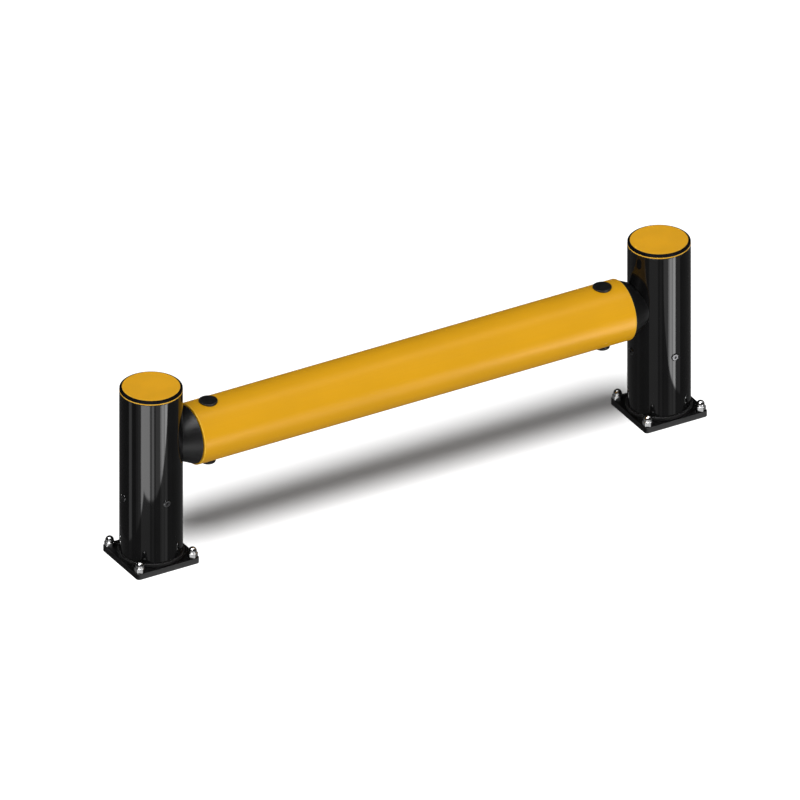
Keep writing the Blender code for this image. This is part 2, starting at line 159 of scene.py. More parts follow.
# ---- the view ----
VIEW_TURN = math.radians(30.0)  # the camera stands to the left of the barrier's front
VIEW_RISE = math.radians(30.0)
VIEW_WIDTH = 2.504              # metres across the picture
VIEW_SHIFT_RIGHT = -0.0158      # from the middle of the barrier's box to the middle of the picture
VIEW_SHIFT_UP = -0.0065
VIEW_DISTANCE = 10.0


# ---- places, read from the frame ----
def span(node, axis):
    """Where a node starts and ends along an axis."""
    low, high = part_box(node)
    return low["XYZ".index(axis)], high["XYZ".index(axis)]


def middle(node):
    low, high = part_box(node)
    return (low + high) / 2.0


def length(node, axis):
    low, high = span(node, axis)
    return high - low


TUBE_RADIUS = length("left_post_tube", "Y") / 2.0
TUBE_BORE = TUBE_RADIUS - TUBE_WALL
SADDLE_RADIUS = TUBE_RADIUS + GAP
RAIL_HEIGHT = middle("rail_tube").z
SIDES = {"left": 0.0, "right": math.pi}
SEATS = {
    side: Matrix.Translation((middle(f"{side}_post_tube").x, 0.0, 0.0)) @ Matrix.Rotation(turn, 4, "Z")
    for side, turn in SIDES.items()
}
POST_OFFSET = middle("right_post_tube").x


def move(x=0.0, y=0.0, z=0.0):
    return Matrix.Translation((x, y, z))


ALONG_X = Matrix.Rotation(math.pi / 2.0, 4, "Y")   # takes a piece's own Z axis to +X


def put(name, data):
    """A new object in the scene."""
    item = bpy.data.objects.new(name, data)
    bpy.context.scene.collection.objects.link(item)
    return item


# ---- meshes: turned outlines whose corners are rounded ----
def rounded(corners, closed):
    """Outline points (radius, height, edge mask) for corners (radius, height, rounding). The edge mask
    marks the rounded edges, for wear and for the rail's painted edge highlight.
    """
    points = []
    for i, (radius, height, rounding) in enumerate(corners):
        here = Vector((radius, height))
        end_of_line = not closed and i in (0, len(corners) - 1)
        if not rounding or end_of_line:
            points.append((radius, height, 0.0))
            continue
        back = (Vector(corners[i - 1][:2]) - here).normalized()
        ahead = (Vector(corners[(i + 1) % len(corners)][:2]) - here).normalized()
        half = back.angle(ahead) / 2.0
        reach = rounding / math.tan(half)
        centre = here + (back + ahead).normalized() * rounding / math.sin(half)
        first = (here + back * reach - centre).normalized()
        last = (here + ahead * reach - centre).normalized()
        held = here + back * (reach + HOLD * rounding)
        points.append((held.x, held.y, 0.0))
        for step in range(ARC_STEPS + 1):
            point = centre + first.slerp(last, step / ARC_STEPS) * rounding
            points.append((point.x, point.y, 1.0))
        held = here + ahead * (reach + HOLD * rounding)
        points.append((held.x, held.y, 0.0))
    return points


def bridge(shape, first, second):
    """Faces between two rings of corners. A ring of one corner gives a fan."""
    if len(first) == 1 and len(second) == 1:
        return
    count = max(len(first), len(second))
    for i in range(count):
        j = (i + 1) % count
        corners = [ring[k % len(ring)] for ring, k in ((first, i), (first, j), (second, j), (second, i))]
        shape.faces.new(list(dict.fromkeys(corners)))


def turned(name, outline_at, steps, closed=False):
    """A mesh turned round its Z axis. outline_at(angle) gives its corners at that angle.

    A corner on the axis, which is at radius 0, is made once.
    """
    outlines = [rounded(outline_at(2.0 * math.pi * i / steps), closed) for i in range(steps)]
    shape = bmesh.new()
    wear_and_highlight_layer = shape.verts.layers.float.new("wear_and_highlight_mask")
    rings = []
    for k in range(len(outlines[0])):
        ring = []
        for i, outline in enumerate(outlines):
            radius, height, wear_and_highlight_mask = outline[k]
            if i and not radius:
                break
            angle = 2.0 * math.pi * i / steps
            vertex = shape.verts.new((radius * math.cos(angle), radius * math.sin(angle), height))
            vertex[wear_and_highlight_layer] = wear_and_highlight_mask
            ring.append(vertex)
        rings.append(ring)
    for first, second in zip(rings, rings[1:]):
        bridge(shape, first, second)
    if closed:
        bridge(shape, rings[-1], rings[0])
    bmesh.ops.recalc_face_normals(shape, faces=shape.faces)
    mesh = bpy.data.meshes.new(name)
    shape.to_mesh(mesh)
    shape.free()
    return mesh


def steady(corners):
    """An outline that is the same all round."""
    return lambda angle: corners


def hexagon(angle, across_flats):
    """Distance from a hexagon's middle to its side, with corners at angle 0, 60 and so on."""
    from_flat = (angle + math.pi / 6.0) % (math.pi / 3.0) - math.pi / 6.0
    return across_flats / 2.0 / math.cos(math.pi / 6.0 - abs(from_flat))


def on_tube(radius, angle):
    """Height of a tube lying along X, at a point given round the Z axis that crosses it."""
    return math.sqrt(SADDLE_RADIUS ** 2 - (radius * math.sin(angle)) ** 2)


def saddle(angle, first, last, shares):
    """Outline corners that lie on such a tube, at some shares of the way from one radius to another."""
    radii = [first + (last - first) * share for share in shares]
    return [(radius, on_tube(radius, angle), 0.0) for radius in radii]


def show(node, mesh, place, material):
    """Puts a fine mesh in the scene in place of its CAD node."""
    piece = put(f"{node}_surface", mesh)
    piece.matrix_world = place
    mesh.shade_smooth()
    mesh.set_sharp_from_angle(angle=SHARP)
    mesh.materials.clear()
    mesh.materials.append(material)
    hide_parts(node)
    return piece


def show_rigid(node, mesh, place, material):
    """The same, riding rigidly on the node's body."""
    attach(show(node, mesh, place, material), frame["nodes"][node]["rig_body"])


# ---- materials ----
IOR = 1.5                       # of every finish; the metals make no use of it
NOISE_RANGE = (0.3, 0.7)        # nearly all of a noise lies between these


class Graph:
    """A node tree, with short ways to add nodes to it. A value is a number or another node's output."""

    def __init__(self, tree):
        self.nodes, self.links = tree.nodes, tree.links

    def maths(self, operation, *values):
        node = self.nodes.new("ShaderNodeMath")
        node.operation = operation
        for socket, value in zip(node.inputs, values):
            if isinstance(value, (int, float)):
                socket.default_value = value
            else:
                self.links.new(value, socket)
        return node.outputs["Value"]

    def levels(self, value, start, end, low=0.0, high=1.0):
        """Maps start..end of a value smoothly to low..high, and holds those beyond."""
        node = self.nodes.new("ShaderNodeMapRange")
        node.interpolation_type = "SMOOTHSTEP"
        self.links.new(value, node.inputs["Value"])
        for socket, number in zip(("From Min", "From Max", "To Min", "To Max"), (start, end, low, high)):
            node.inputs[socket].default_value = number
        return node.outputs["Result"]


class Finish(Graph):
    """A Principled material, with short ways to add the textures that vary it."""

    def __init__(self, name, metallic=0.0, specular=0.5):
        self.material = bpy.data.materials.new(name)
        self.material.use_nodes = True
        super().__init__(self.material.node_tree)
        self.shader = self.nodes["Principled BSDF"]
        self.shader.inputs["Metallic"].default_value = metallic
        self.shader.inputs["Specular IOR Level"].default_value = specular
        self.shader.inputs["IOR"].default_value = IOR
        self.place = self.nodes.new("ShaderNodeTexCoord").outputs["Object"]

    def noise(self, scale, detail=2.0, stretch=(1.0, 1.0, 1.0), distortion=0.0):
        """A noise from 0 to 1, with `scale` features to the metre, stretched along an axis."""
        scaled = self.nodes.new("ShaderNodeVectorMath")
        scaled.operation = "MULTIPLY"
        self.links.new(self.place, scaled.inputs[0])
        scaled.inputs[1].default_value = [scale * s for s in stretch]
        noise = self.nodes.new("ShaderNodeTexNoise")
        noise.inputs["Scale"].default_value = 1.0
        noise.inputs["Detail"].default_value = detail
        noise.inputs["Distortion"].default_value = distortion
        self.links.new(scaled.outputs[0], noise.inputs["Vector"])
        return noise.outputs["Fac"]

    def mix(self, share, first, second):
        """A colour between two, each a linear RGB or another node's output."""
        mixer = self.nodes.new("ShaderNodeMix")
        mixer.data_type = "RGBA"
        self.links.new(share, mixer.inputs["Factor"])
        for socket, colour in zip((mixer.inputs["A"], mixer.inputs["B"]), (first, second)):
            if isinstance(colour, tuple):
                socket.default_value = (*colour, 1.0)
            else:
                self.links.new(colour, socket)
        return mixer.outputs["Result"]

    def vary(self, noise, first, second):
        """A colour that goes from one to another as a noise does."""
        return self.mix(self.levels(noise, *NOISE_RANGE), first, second)

    def edge_wear_and_highlight(self, scale=60.0):
        """How rubbed the rounded edges are, and on the rail how strongly they carry a painted highlight:
        patches of the edge attribute, from 0 to 1.
        """
        wear_and_highlight_mask = self.nodes.new("ShaderNodeAttribute")
        wear_and_highlight_mask.attribute_name = "wear_and_highlight_mask"
        patches = self.levels(self.noise(scale, 3.0), 0.35, 0.65, 0.25, 1.0)
        return self.maths("MULTIPLY", wear_and_highlight_mask.outputs["Fac"], patches)

    def bump(self, *layers):
        """Stacks bumps, each (height, depth in metres)."""
        normal = None
        for height, depth in layers:
            bump = self.nodes.new("ShaderNodeBump")
            bump.inputs["Strength"].default_value = 1.0
            bump.inputs["Distance"].default_value = depth
            self.links.new(height, bump.inputs["Height"])
            if normal is not None:
                self.links.new(normal, bump.inputs["Normal"])
            normal = bump.outputs["Normal"]
        self.links.new(normal, self.shader.inputs["Normal"])

    def done(self, colour, roughness):
        """Joins the colour and the roughness to the shader, and gives the material."""
        self.links.new(colour, self.shader.inputs["Base Color"])
        self.links.new(roughness, self.shader.inputs["Roughness"])
        return self.material


def tint(colour, share):
    """A colour made darker or brighter."""
    return tuple(min(1.0, channel * share) for channel in colour)


def extruded_yellow():
    """Through-coloured extruded polymer: faint die lines along the rail, and a painted highlight on the
    rounded edges of the cut ends.
    """
    finish = Finish("extruded_yellow_polymer", specular=0.30)
    yellow = (0.800, 0.392, 0.003)
    patches = finish.noise(5.0, 3.0)
    lines = finish.noise(420.0, 2.0, stretch=(1.0, 1.0, 0.004))
    speckle = finish.noise(900.0, 2.0)
    colour = finish.vary(patches, tint(yellow, 0.975), tint(yellow, 1.02))
    colour = finish.mix(finish.levels(lines, 0.45, 0.75, 0.0, 0.35), colour, tint(yellow, 0.93))
    colour = finish.mix(finish.levels(speckle, 0.62, 0.75, 0.0, 0.12), colour, tint(yellow, 0.8))
    # Painted highlight: the rounded edges of the rail's cut ends are coloured a brighter yellow, in
    # patches.
    colour = finish.mix(finish.edge_wear_and_highlight(), colour, (1.0, 0.60, 0.06))
    finish.bump((lines, 0.00004), (speckle, 0.00003))
    return finish.done(colour, finish.levels(lines, *NOISE_RANGE, 0.31, 0.36))


def moulded_yellow():
    """Moulded cap: fine spark-eroded grain. Its yellow is brighter than the extrusion's, partly as a
    moulding and partly as painted light for the extra light that falls on its top.
    """
    finish = Finish("moulded_yellow_plastic", specular=0.25)
    # Painted light: this yellow is set brighter than the rail's, partly to stand for the extra light from
    # above on the cap's top.
    yellow = (0.900, 0.440, 0.009)
    patches = finish.noise(14.0, 3.0)
    grain = finish.noise(1400.0, 2.0)
    colour = finish.vary(patches, tint(yellow, 0.97), tint(yellow, 1.03))
    colour = finish.mix(finish.levels(grain, 0.6, 0.8, 0.0, 0.15), colour, tint(yellow, 0.85))
    colour = finish.mix(finish.edge_wear_and_highlight(), colour, (0.95, 0.55, 0.07))
    finish.bump((grain, 0.00005))
    return finish.done(colour, finish.levels(grain, *NOISE_RANGE, 0.42, 0.52))


def gloss_black():
    """Polished black extrusion: hairlines along the tube and a trace of dust."""
    finish = Finish("gloss_black_polymer", specular=0.25)
    hairlines = finish.noise(700.0, 2.0, stretch=(1.0, 1.0, 0.006))
    draw = finish.noise(90.0, 1.0, stretch=(1.0, 1.0, 0.01))
    dust = finish.noise(220.0, 4.0)
    patches = finish.noise(9.0, 3.0)
    colour = finish.vary(patches, (0.0042, 0.0042, 0.0044), (0.0056, 0.0056, 0.0058))
    colour = finish.mix(finish.levels(dust, 0.62, 0.8, 0.0, 0.30), colour, (0.016, 0.016, 0.015))
    colour = finish.mix(finish.edge_wear_and_highlight(), colour, (0.020, 0.020, 0.020))
    finish.bump((draw, 0.00005), (hairlines, 0.000006))
    roughness = finish.levels(hairlines, 0.4, 0.75, 0.05, 0.09)
    roughness = finish.maths("ADD", roughness, finish.levels(dust, 0.6, 0.8, 0.0, 0.08))
    return finish.done(colour, roughness)


def moulded_black():
    """Satin black mouldings, with a fine leathery grain."""
    finish = Finish("moulded_black_plastic", specular=0.3)
    grain = finish.noise(1100.0, 3.0)
    patches = finish.noise(22.0, 3.0)
    colour = finish.vary(patches, (0.0045, 0.0045, 0.0048), (0.0068, 0.0068, 0.0072))
    colour = finish.mix(finish.edge_wear_and_highlight(), colour, (0.040, 0.040, 0.041))
    finish.bump((grain, 0.00007))
    return finish.done(colour, finish.levels(grain, *NOISE_RANGE, 0.36, 0.48))


def trim_black():
    """The flat black of the ring round each cap, with a slight mottle."""
    finish = Finish("flat_black_trim", specular=0.06)
    mottle = finish.noise(300.0, 3.0)
    colour = finish.vary(mottle, (0.0016, 0.0017, 0.0026), (0.0030, 0.0031, 0.0044))
    finish.bump((mottle, 0.00004))
    return finish.done(colour, finish.levels(mottle, *NOISE_RANGE, 0.40, 0.55))


def powder_coat():
    """Black powder coat on the steel plates: orange peel, with the edges rubbed lighter."""
    finish = Finish("black_powder_coat", specular=0.2)
    peel = finish.noise(320.0, 2.0)
    fine = finish.noise(1500.0, 2.0)
    patches = finish.noise(25.0, 4.0)
    colour = finish.vary(patches, (0.0024, 0.0024, 0.0026), (0.0036, 0.0036, 0.0038))
    colour = finish.mix(finish.levels(fine, 0.66, 0.8, 0.0, 0.4), colour, (0.012, 0.012, 0.012))
    colour = finish.mix(finish.edge_wear_and_highlight(45.0), colour, (0.05, 0.05, 0.052))
    finish.bump((peel, 0.00018), (fine, 0.00003))
    return finish.done(colour, finish.levels(patches, *NOISE_RANGE, 0.34, 0.46))


def rubber():
    """Matt black elastomer, faintly mottled."""
    finish = Finish("black_rubber", specular=0.35)
    mottle = finish.noise(120.0, 4.0)
    pores = finish.noise(1300.0, 2.0)
    colour = finish.vary(mottle, (0.0095, 0.0095, 0.0098), (0.0135, 0.0135, 0.0138))
    colour = finish.mix(finish.edge_wear_and_highlight(90.0), colour, (0.018, 0.018, 0.018))
    finish.bump((mottle, 0.00003), (pores, 0.00004))
    return finish.done(colour, finish.levels(mottle, *NOISE_RANGE, 0.42, 0.55))


def stainless():
    """Turned stainless nuts: fine lines round the axis, and soft smudges."""
    finish = Finish("stainless_steel", metallic=1.0)
    turning = finish.noise(2600.0, 2.0, stretch=(0.05, 0.05, 1.0))
    smudges = finish.noise(160.0, 3.0)
    colour = finish.vary(smudges, (0.70, 0.70, 0.71), (0.80, 0.80, 0.80))
    colour = finish.mix(finish.edge_wear_and_highlight(200.0), colour, (0.88, 0.88, 0.88))
    finish.bump((turning, 0.00001))
    return finish.done(colour, finish.levels(smudges, *NOISE_RANGE, 0.13, 0.19))


def zinc():
    """Zinc-plated steel: pale blue-grey crystals."""
    finish = Finish("zinc_plated_steel", metallic=1.0)
    crystals = finish.noise(240.0, 4.0, distortion=0.6)
    colour = finish.vary(crystals, (0.46, 0.48, 0.50), (0.60, 0.62, 0.64))
    finish.bump((crystals, 0.00003))
    return finish.done(colour, finish.levels(crystals, *NOISE_RANGE, 0.28, 0.42))


def black_screw():
    """Black-oxide button screws, whose oxide is rubbed off the edges."""
    finish = Finish("black_oxide_steel", metallic=1.0)
    film = finish.noise(500.0, 3.0)
    colour = finish.vary(film, (0.056, 0.056, 0.059), (0.078, 0.078, 0.081))
    colour = finish.mix(finish.edge_wear_and_highlight(400.0), colour, (0.15, 0.15, 0.15))
    finish.bump((film, 0.00002))
    return finish.done(colour, finish.levels(film, *NOISE_RANGE, 0.24, 0.34))


RAIL_YELLOW = extruded_yellow()
CAP_YELLOW = moulded_yellow()
TUBE_BLACK = gloss_black()
MOULDED_BLACK = moulded_black()
TRIM_BLACK = trim_black()
PLATE_BLACK = powder_coat()
RUBBER = rubber()
STAINLESS = stainless()
ZINC = zinc()
SCREW_STEEL = black_screw()


# ---- tubes and caps ----
def tube(name, low, high):
    """A tube between two heights, with rounded ends."""
    return turned(name, steady([
        (TUBE_RADIUS, low, TUBE_EDGE), (TUBE_RADIUS, high, TUBE_EDGE),
        (TUBE_BORE, high, TUBE_EDGE / 2.0), (TUBE_BORE, low, TUBE_EDGE / 2.0),
    ]), TUBE_STEPS, closed=True)


def make_post_tube(side, seat):
    node = f"{side}_post_tube"
    show_rigid(node, tube(node, *span(node, "Z")), seat, TUBE_BLACK)


def make_rail():
    node = "rail_tube"
    mesh = tube(node, *span(node, "X"))
    show_rigid(node, mesh, move(z=RAIL_HEIGHT) @ ALONG_X, RAIL_YELLOW)


def make_cap(side, seat):
    """A raised disc in a ring-shaped step, a lip on the tube's end and a skirt inside it."""
    node = f"{side}_post_cap"
    bottom, top = span(node, "Z")
    lip = span(f"{side}_post_tube", "Z")[1] + GAP
    skirt = TUBE_BORE - GAP
    mesh = turned(node, steady([
        (0.0, top, 0.0), (CAP_DISC_RADIUS, top, CAP_DISC_EDGE), (CAP_DISC_RADIUS, CAP_LIP_TOP, 0.0),
        (TUBE_RADIUS, CAP_LIP_TOP, CAP_EDGE), (TUBE_RADIUS, lip, CAP_LIP_EDGE), (skirt, lip, 0.0),
        (skirt, bottom, INNER_EDGE), (CAP_SKIRT_INNER, bottom, INNER_EDGE),
        (CAP_SKIRT_INNER, CAP_CEILING, CAP_CEILING_FILLET), (0.0, CAP_CEILING, 0.0),
    ]), TUBE_STEPS)
    show_rigid(node, mesh, seat, CAP_YELLOW)


def make_trim_ring(side, seat):
    """The flat ring that fills the step round a cap's disc."""
    node = f"{side}_cap_trim_ring"
    bottom, top = span(node, "Z")
    outer = length(node, "Y") / 2.0
    inner = CAP_DISC_RADIUS + GAP
    mesh = turned(node, steady([
        (inner, top, TRIM_EDGE), (outer, TRIM_SHOULDER, TRIM_SHOULDER_EDGE),
        (outer, bottom, TRIM_EDGE), (inner, bottom, TRIM_INNER_EDGE),
    ]), TUBE_STEPS, closed=True)
    show_rigid(node, mesh, seat, TRIM_BLACK)


# ---- connector between post and rail ----
def cone_radius(mouth, reach):
    """The cone's radius at a distance from the post's axis, where the mouth is at another."""
    return CONE_MOUTH_RADIUS - CONE_SLOPE * (mouth - reach)


def cone_foot(mouth, angle):
    """Where the cone meets the post, as (radius, distance from the post's axis)."""
    radius = NECK_RADIUS
    for _ in range(FOOT_ROUNDS):
        reach = on_tube(radius, angle)
        radius = cone_radius(mouth, reach)
    return radius, reach


def make_connector(side, seat):
    """Turned round the rail's axis. The angle is measured from straight down, so the post lies along X."""
    node = f"{side}_rail_connector"
    spigot_end, neck_end = (POST_OFFSET - x for x in span("right_rail_connector", "X"))
    mouth = POST_OFFSET - span("rail_tube", "X")[1] - GAP
    rim = mouth - RIM_GAP
    rim_radius = cone_radius(mouth, rim)
    spigot = TUBE_BORE - GAP

    def outline(angle):
        foot_radius, foot_reach = cone_foot(mouth, angle)
        return [
            (0.0, neck_end, 0.0), (NECK_RADIUS, neck_end, NECK_EDGE),
            *saddle(angle, foot_radius, NECK_RADIUS, (1.0, 0.67, 0.33)),
            (foot_radius, foot_reach, CONE_FOOT_EDGE), (rim_radius, rim, RIM_EDGE), (spigot, rim, 0.0),
            (spigot, spigot_end, INNER_EDGE), (SPIGOT_BORE_RADIUS, spigot_end, INNER_EDGE),
            (SPIGOT_BORE_RADIUS, SPIGOT_BORE_FLOOR, SPIGOT_BORE_FILLET), (0.0, SPIGOT_BORE_FLOOR, 0.0),
        ]

    mesh = turned(node, outline, TUBE_STEPS)
    place = seat @ move(z=RAIL_HEIGHT) @ ALONG_X
    show_rigid(node, mesh, place, MOULDED_BLACK)


# ---- the rail's pins ----
def make_pin_cap(side):
    """A disc that sits on the rail, over a plug in the rail's hole."""
    node = f"{side}_rail_pin_cap"
    radius = length(node, "X") / 2.0
    bottom, top = (height - RAIL_HEIGHT for height in span(node, "Z"))

    def outline(angle):
        return [
            (0.0, top, 0.0), (radius, top, PIN_CAP_EDGE),
            *saddle(angle, radius, PLUG_RADIUS, (0.0, 0.33, 0.67, 1.0)),
            (PLUG_RADIUS, bottom, 0.0), (0.0, bottom, 0.0),
        ]

    mesh = turned(node, outline, PLAIN_STEPS)
    centre = middle(node)
    show_rigid(node, mesh, move(centre.x, centre.y, RAIL_HEIGHT), MOULDED_BLACK)


def make_pin_nut(side):
    """Turned pointing down, round the pin that comes out under the rail."""
    node = f"{side}_rail_pin_nut"
    radius = length(node, "X") / 2.0
    bottom = RAIL_HEIGHT - span(node, "Z")[0]
    bore_end = RAIL_HEIGHT - span(f"{side}_rail_pin", "Z")[0] + GAP

    def outline(angle):
        return [
            (0.0, bottom, 0.0), (radius, bottom, PIN_NUT_EDGE),
            *saddle(angle, radius, PIN_HOLE_RADIUS, (0.0, 0.5, 1.0)),
            (PIN_HOLE_RADIUS, bore_end, 0.0), (0.0, bore_end, 0.0),
        ]

    mesh = turned(node, outline, PLAIN_STEPS)
    centre = middle(node)
    place = move(centre.x, centre.y, RAIL_HEIGHT) @ Matrix.Rotation(math.pi, 4, "X")
    show_rigid(node, mesh, place, MOULDED_BLACK)


# ---- screws and nuts ----
def make_post_screw(side, index, seat):
    """Button-head screw with a hexagon socket. Its own Z axis points out of the tube."""
    node = f"{side}_post_screw_{index}"
    low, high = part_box(node)
    radius = (high.z - low.z) / 2.0
    place = seat @ move(z=middle(node).z) @ Matrix.Rotation(math.pi / 2.0 * (index - 1), 4, "Z") @ ALONG_X
    ends = [(place.inverted() @ corner).z for corner in (low, high)]
    tip, top = min(ends), max(ends)
    floor = top - SCREW_SOCKET_DEPTH

    def outline(angle):
        socket = hexagon(angle, SCREW_SOCKET_FLATS)
        return [
            (0.0, floor - SCREW_SOCKET_POINT, 0.0), (socket, floor, 0.0),
            (socket, top - SCREW_SOCKET_CHAMFER, 0.0), (socket + SCREW_SOCKET_CHAMFER, top, 0.0),
            (radius - SCREW_HEAD_INSET, top, SCREW_HEAD_EDGES[0]),
            (radius, top - SCREW_HEAD_DROP, SCREW_HEAD_EDGES[1]),
            *saddle(angle, radius, SCREW_SHANK_RADIUS, (0.0, 1.0)),
            (SCREW_SHANK_RADIUS, tip, INNER_EDGE), (0.0, tip, 0.0),
        ]

    show_rigid(node, turned(node, outline, PLAIN_STEPS), place, SCREW_STEEL)


def make_cap_nut(side, index):
    """Domed cap nut: a chamfered hexagon with two flats facing along X, under a round crown."""
    node = f"{side}_cap_nut_{index}"
    bottom, top = span(node, "Z")
    height = top - bottom
    flats = length(node, "X")
    centre = middle(node)
    dome = height - NUT_DOME_RADIUS
    rises = [math.pi / 2.0 * step / DOME_STEPS for step in range(DOME_STEPS - 1, -1, -1)]
    crown = [(NUT_DOME_RADIUS * math.cos(a), dome + NUT_DOME_RADIUS * math.sin(a), 0.0) for a in rises]

    def outline(angle):
        side_radius = min(hexagon(angle + math.pi / 6.0, flats), NUT_CORNER_RADIUS)
        drop = max(0.0, side_radius - NUT_CHAMFER_RADIUS) * math.tan(NUT_CHAMFER)
        return [
            (0.0, height, 0.0), *crown, (NUT_DOME_RADIUS, NUT_HEX_HEIGHT + NUT_DOME_FOOT, 0.0),
            (NUT_CHAMFER_RADIUS, NUT_HEX_HEIGHT, 0.0), (side_radius, NUT_HEX_HEIGHT - drop, 0.0),
            (side_radius, drop + NUT_FOOT, 0.0), (NUT_CHAMFER_RADIUS, 0.0, 0.0),
            (NUT_BORE_RADIUS, 0.0, NUT_BORE_EDGE), (NUT_BORE_RADIUS, NUT_BORE_DEPTH, 0.0),
            (0.0, NUT_BORE_DEPTH, 0.0),
        ]

    mesh = turned(node, outline, PLAIN_STEPS)
    show_rigid(node, mesh, move(centre.x, centre.y, bottom), STAINLESS)


# ---- base plate, foot ring and core ----
def on_circle(x, y, radius, turns):
    """Points on a circle, at some angles given in whole turns."""
    angles = [2.0 * math.pi * turn for turn in turns]
    return [(x + radius * math.cos(angle), y + radius * math.sin(angle)) for angle in angles]


def cut_plate(name, loops, thickness):
    """A plate cut to a flat outline with holes, its middle at height 0, with its edges broken."""
    curve = bpy.data.curves.new(f"{name}_outline", "CURVE")
    curve.dimensions = "2D"
    curve.fill_mode = "BOTH"
    curve.extrude = thickness / 2.0 - PLATE_EDGE
    curve.bevel_depth = PLATE_EDGE
    curve.bevel_resolution = ARC_STEPS - 1
    curve.offset = -PLATE_EDGE
    for points in loops:
        spline = curve.splines.new("POLY")
        spline.points.add(len(points) - 1)
        for point, (x, y) in zip(spline.points, points):
            point.co = (x, y, 0.0, 1.0)
        spline.use_cyclic_u = True
    shaper = put(curve.name, curve)
    mesh = bpy.data.meshes.new_from_object(shaper.evaluated_get(bpy.context.evaluated_depsgraph_get()))
    bpy.data.objects.remove(shaper)
    shape = bmesh.new()
    shape.from_mesh(mesh)
    bmesh.ops.remove_doubles(shape, verts=shape.verts, dist=WELD)
    wear_and_highlight_layer = shape.verts.layers.float.new("wear_and_highlight_mask")
    worn_from, worn_to = (thickness / 2.0 - PLATE_EDGE * share for share in PLATE_WEAR)
    for vertex in shape.verts:
        vertex[wear_and_highlight_layer] = 1.0 if worn_from < abs(vertex.co.z) < worn_to else 0.0
    shape.to_mesh(mesh)
    shape.free()
    return mesh


def make_base_plate(side, seat):
    """A square plate with rounded corners and four anchor holes."""
    node = f"{side}_base_plate"
    thickness = length(node, "Z")
    half = length(node, "Y") / 2.0 - PLATE_CORNER
    outline = []
    for quarter, (x, y) in enumerate(((1, 1), (-1, 1), (-1, -1), (1, -1))):
        turns = [(quarter + step / CORNER_STEPS) / 4.0 for step in range(CORNER_STEPS + 1)]
        outline += on_circle(x * half, y * half, PLATE_CORNER, turns)
    centres = [seat.inverted() @ middle(f"{side}_anchor_stud_{index}") for index in range(1, 5)]
    turns = [step / HOLE_STEPS for step in range(HOLE_STEPS)]
    holes = [on_circle(centre.x, centre.y, ANCHOR_HOLE_RADIUS, turns) for centre in centres]
    mesh = cut_plate(node, [outline, *holes], thickness)
    show_rigid(node, mesh, seat @ move(z=thickness / 2.0), PLATE_BLACK)


def make_foot_ring(side, seat):
    """Rubber ring that is squeezed between the plate and the tube as the barrier leans."""
    node = f"{side}_foot_ring"
    bottom, top = span(node, "Z")
    outer = length(node, "Y") / 2.0
    levels = [bottom + (top - bottom) * share for share in (0.3, 0.5, 0.7)]
    mesh = turned(node, steady([
        (outer, bottom, FOOT_RING_SEAT_EDGE), *[(outer, z, 0.0) for z in levels],
        (outer, top, FOOT_RING_EDGE), (FOOT_RING_INNER, top, FOOT_RING_SEAT_EDGE),
        *[(FOOT_RING_INNER, z, 0.0) for z in reversed(levels)],
        (FOOT_RING_INNER, bottom, FOOT_RING_SEAT_EDGE),
    ]), TUBE_STEPS, closed=True)
    ring = show(node, mesh, seat, RUBBER)
    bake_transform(ring)


def make_core(side, seat):
    """The hidden elastomer column, cut into lengths along its height; in the barrier it bends where it is
    free.
    """
    node = f"{side}_flexible_core"
    bottom, top = span(node, "Z")
    radius = length(node, "Y") / 2.0
    levels = [bottom + (top - bottom) * step / CORE_LEVELS for step in range(1, CORE_LEVELS)]
    mesh = turned(node, steady([
        (0.0, bottom, 0.0), (radius, bottom, INNER_EDGE), *[(radius, z, 0.0) for z in levels],
        (radius, top, INNER_EDGE), (0.0, top, 0.0),
    ]), PLAIN_STEPS)
    core = show(node, mesh, seat, RUBBER)
    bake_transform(core)


# ---- pieces hidden inside, which keep their CAD meshes ----
def paint_hidden(side):
    materials = {"socket_pipe": ZINC, "core_collar": MOULDED_BLACK, "neck_lock_pin": ZINC, "rail_pin": ZINC}
    materials.update({f"anchor_stud_{index}": ZINC for index in range(1, 5)})
    for name, material in materials.items():
        mesh = frame["nodes"][f"{side}_{name}"].data
        mesh.materials.clear()
        mesh.materials.append(material)


for post_side, post_seat in SEATS.items():
    make_base_plate(post_side, post_seat)
    make_foot_ring(post_side, post_seat)
    make_core(post_side, post_seat)
    make_post_tube(post_side, post_seat)
    make_cap(post_side, post_seat)
    make_trim_ring(post_side, post_seat)
    make_connector(post_side, post_seat)
    make_pin_cap(post_side)
    make_pin_nut(post_side)
    for number in range(1, 5):
        make_post_screw(post_side, number, post_seat)
        make_cap_nut(post_side, number)
    paint_hidden(post_side)
make_rail()


# ---- camera ----
TOWARD_CAMERA = Vector((-math.sin(VIEW_TURN), -math.cos(VIEW_TURN), 0.0))   # along the floor
TO_CAMERA = TOWARD_CAMERA * math.cos(VIEW_RISE) + Vector((0.0, 0.0, math.sin(VIEW_RISE)))
PICTURE_RIGHT = Vector((math.cos(VIEW_TURN), -math.sin(VIEW_TURN), 0.0))
PICTURE_UP = TO_CAMERA.cross(PICTURE_RIGHT)


def make_camera():
    data = bpy.data.cameras.new("camera")
    data.type = "ORTHO"
    data.ortho_scale = VIEW_WIDTH
    camera = put("camera", data)
    aim = (cad_low + cad_high) / 2.0 + PICTURE_RIGHT * VIEW_SHIFT_RIGHT + PICTURE_UP * VIEW_SHIFT_UP
    turn = Matrix((PICTURE_RIGHT, PICTURE_UP, TO_CAMERA)).transposed().to_4x4()
    camera.matrix_world = Matrix.Translation(aim + TO_CAMERA * VIEW_DISTANCE) @ turn
    bpy.context.scene.camera = camera


